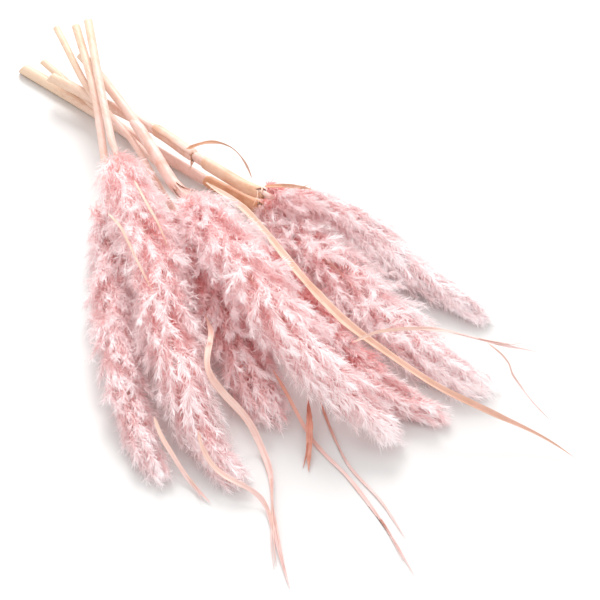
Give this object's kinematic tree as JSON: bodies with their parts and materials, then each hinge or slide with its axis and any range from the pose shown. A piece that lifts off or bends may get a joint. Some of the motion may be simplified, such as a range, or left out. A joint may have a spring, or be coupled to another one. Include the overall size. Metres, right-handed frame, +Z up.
{
  "type": "bundle of dried pampas grass",
  "caption": "Loose bunch of dyed dried pampas grass lying flat: hollow culms that cross near their cut ends, soft pink feathery plumes, torn leaf sheaths and dry curling leaf blades.",
  "frame": {"origin": "on the surface the bunch lies on, under the middle of its box", "axes": "+X along the bunch from the cut ends to the plume tips, +Z up"},
  "size_m": [0.6759, 0.2991, 0.0768],
  "materials": {
    "culm": "dry straw, cream dyed pale pink below the crossing",
    "plume": "soft matt hair, rose at the roots and nearly white at the tips",
    "sheath": "dry papery leaf sheath",
    "blade": "dry curled leaf blade"
  },
  "bodies": {
    "root": {"culm_1": "culm", "culm_2": "culm", "culm_3": "culm", "culm_4": "culm", "culm_5": "culm", "culm_6": "culm", "culm_7": "culm", "leaf_cream_1": "blade", "leaf_cream_2": "blade", "leaf_curl": "blade", "leaf_folded": "blade", "leaf_long_thin": "blade", "leaf_low_left": "blade", "leaf_low_middle": "blade", "leaf_red": "blade", "leaf_ribbon": "blade", "leaf_sheath_4": "sheath", "leaf_sheath_5": "sheath", "leaf_sheath_6_lower": "sheath", "leaf_sheath_6_upper": "sheath", "leaf_short": "blade", "leaf_thin": "blade", "leaf_wavy": "blade", "leaf_wavy_side": "blade", "plume_1": "plume", "plume_2": "plume", "plume_3": "plume", "plume_4": "plume", "plume_5": "plume", "plume_6": "plume", "plume_7": "plume"}
  },
  "joints": []
}
